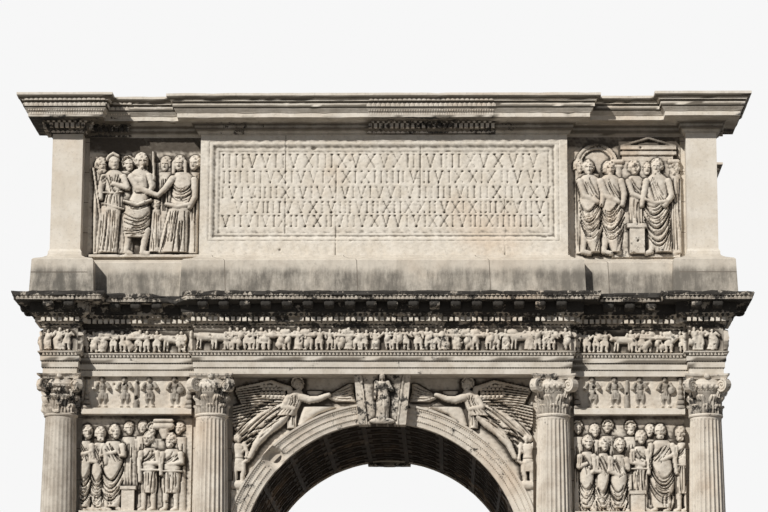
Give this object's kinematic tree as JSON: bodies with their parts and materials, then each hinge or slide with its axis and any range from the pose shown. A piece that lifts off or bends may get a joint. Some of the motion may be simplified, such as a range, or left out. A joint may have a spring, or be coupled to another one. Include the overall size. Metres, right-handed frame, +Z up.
{
  "type": "triumphal arch",
  "caption": "Free-standing Roman triumphal arch with one vaulted passage, engaged columns, a carved entablature and a high attic with a framed tablet.",
  "frame": {"origin": "on the ground at the middle of the arch", "axes": "+Z up, +X to the right of someone facing the main face, which looks along -Y"},
  "size_m": [14.505, 7.97, 15.6],
  "materials": {
    "wall_marble": "weathered dressed marble blocks",
    "carved_marble": "weathered carved marble",
    "plain_marble": "weathered smooth marble",
    "crusted_marble": "marble with a black crust",
    "vault_marble": "shaded, soot-stained marble",
    "roof_stone": "rough stone paving"
  },
  "bodies": {
    "root": {"architrave": "carved_marble", "archivolt_back": "carved_marble", "archivolt_front": "carved_marble", "attic_base": "plain_marble", "attic_core": "wall_marble", "attic_cornice": "plain_marble", "attic_pilasters": "plain_marble", "attic_reliefs_back": "carved_marble", "attic_reliefs_front": "carved_marble", "column_bases_back": "carved_marble", "column_bases_front": "carved_marble", "column_capitals_back": "carved_marble", "column_capitals_front": "carved_marble", "column_shafts_back": "carved_marble", "column_shafts_front": "carved_marble", "frieze": "carved_marble", "impost_left": "vault_marble", "impost_right": "vault_marble", "keystone_back": "carved_marble", "keystone_front": "carved_marble", "lower_reliefs_back": "carved_marble", "lower_reliefs_front": "carved_marble", "main_cornice": "crusted_marble", "panel_ledges_back": "carved_marble", "panel_ledges_front": "carved_marble", "pier_left": "wall_marble", "pier_right": "wall_marble", "podium_left": "wall_marble", "podium_right": "wall_marble", "roof_paving": "roof_stone", "small_reliefs_back": "carved_marble", "small_reliefs_front": "carved_marble", "spandrel_reliefs_back": "carved_marble", "spandrel_reliefs_front": "carved_marble", "tablet_back": "plain_marble", "tablet_front": "plain_marble", "upper_reliefs_back": "carved_marble", "upper_reliefs_front": "carved_marble", "upper_wall": "wall_marble", "vault_lining": "vault_marble"}
  },
  "joints": []
}
